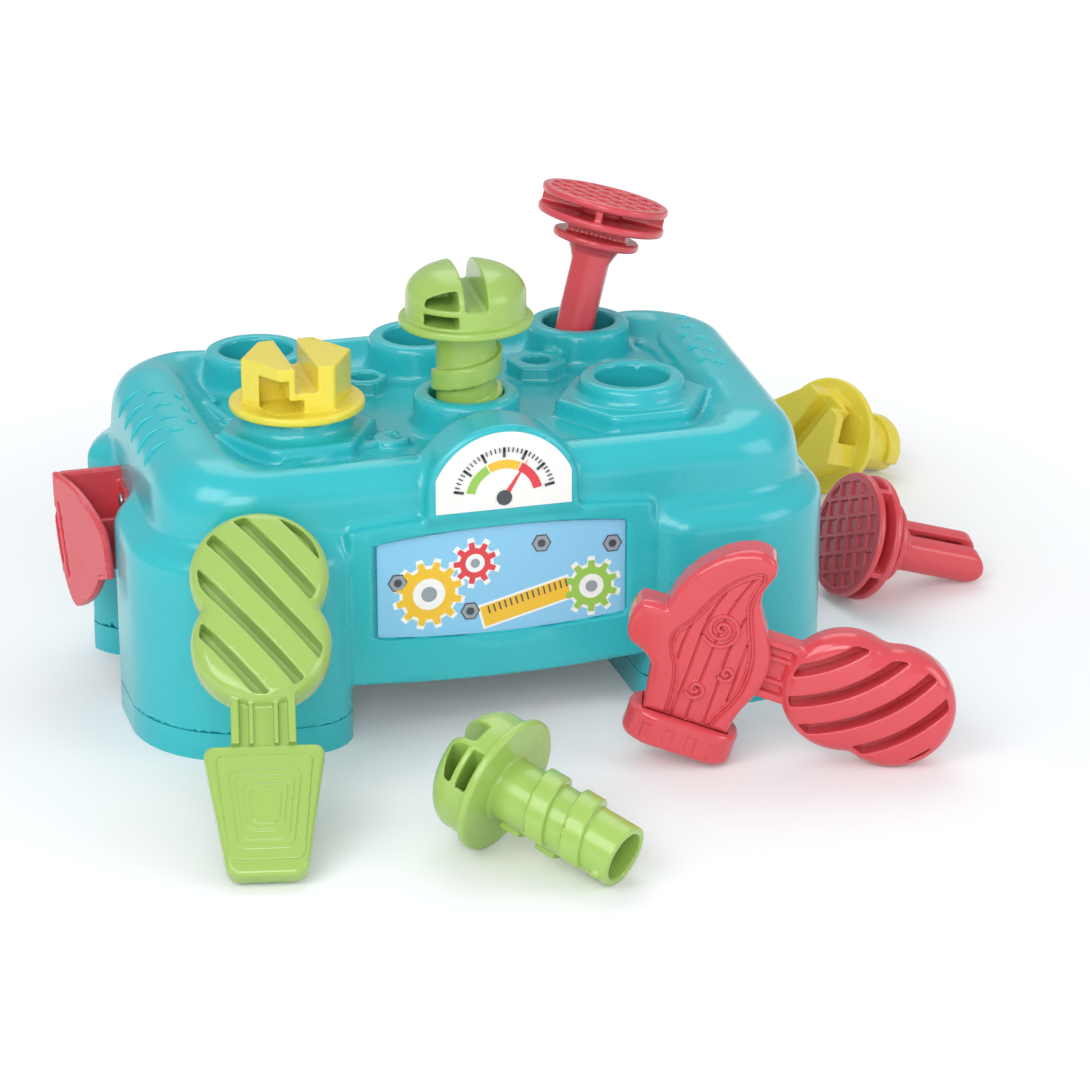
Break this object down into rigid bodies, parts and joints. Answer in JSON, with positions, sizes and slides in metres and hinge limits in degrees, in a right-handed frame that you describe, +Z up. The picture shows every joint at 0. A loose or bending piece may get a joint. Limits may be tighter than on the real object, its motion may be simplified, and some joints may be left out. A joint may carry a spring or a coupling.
{
  "type": "toy workbench",
  "caption": "Moulded plastic toy workbench with ringed peg holes, chunky bolts, screws and nails, a hammer, a driver and a side tool holder.",
  "frame": {"origin": "centre of the bench's rectangular footprint, on the ground", "axes": "+X to the bench's right as seen from its front, +Y to its back, +Z up; the front with its labels faces -Y"},
  "size_m": [0.4322, 0.4229, 0.1893],
  "materials": {
    "teal_plastic": "glossy moulded plastic",
    "window_print": "printed label film",
    "badge_print": "printed label film",
    "red_plastic": "glossy moulded plastic",
    "screw_steel": "zinc-plated",
    "yellow_plastic": "glossy moulded plastic",
    "green_plastic": "glossy moulded plastic",
    "lime_plastic": "glossy moulded plastic"
  },
  "bodies": {
    "bench": {"bench_shell": "teal_plastic", "foot_cap_front_left": "teal_plastic", "foot_cap_front_right": "teal_plastic", "foot_cap_back_left": "teal_plastic", "foot_cap_back_right": "teal_plastic", "window_label": "window_print", "badge_label": "badge_print", "tool_holder": "red_plastic", "holder_screws": "screw_steel"},
    "seated_bolt": {"bolt_seated": "yellow_plastic"},
    "raised_screw": {"screw_raised": "green_plastic"},
    "leaning_nail": {"nail_raised": "red_plastic"},
    "free_bolt": {"bolt_loose": "yellow_plastic"},
    "free_screw": {"screw_loose": "green_plastic"},
    "free_nail": {"nail_loose": "red_plastic"},
    "hammer": {"hammer_head": "red_plastic", "hammer_cap": "red_plastic", "hammer_handle": "red_plastic"},
    "driver": {"driver_blade": "lime_plastic", "driver_handle": "lime_plastic"}
  },
  "joints": [
    {"name": "bolt_turn", "type": "hinge", "parent": "bench", "child": "seated_bolt", "pos_m": [-0.072, -0.024, 0.128], "axis": [0, 0, 1], "continuous": true},
    {"name": "screw_rise", "type": "slide", "parent": "bench", "child": "raised_screw", "axis": [0, 0, 1], "range_m": [-0.0295, 0.045]},
    {"name": "nail_drive", "type": "slide", "parent": "bench", "child": "leaning_nail", "axis": [0, 0, 1], "range_m": [-0.008, 0.05]},
    {"name": "free_bolt_lift", "type": "slide", "parent": "bench", "child": "free_bolt", "axis": [0, 0, 1], "range_m": [0, 0.08]},
    {"name": "free_screw_lift", "type": "slide", "parent": "bench", "child": "free_screw", "axis": [0, 0, 1], "range_m": [0, 0.08]},
    {"name": "free_nail_lift", "type": "slide", "parent": "bench", "child": "free_nail", "axis": [0, 0, 1], "range_m": [0, 0.08]},
    {"name": "hammer_lift", "type": "slide", "parent": "bench", "child": "hammer", "axis": [0, 0, 1], "range_m": [0, 0.08]},
    {"name": "driver_lift", "type": "slide", "parent": "bench", "child": "driver", "axis": [0, 0, 1], "range_m": [0, 0.08]}
  ]
}
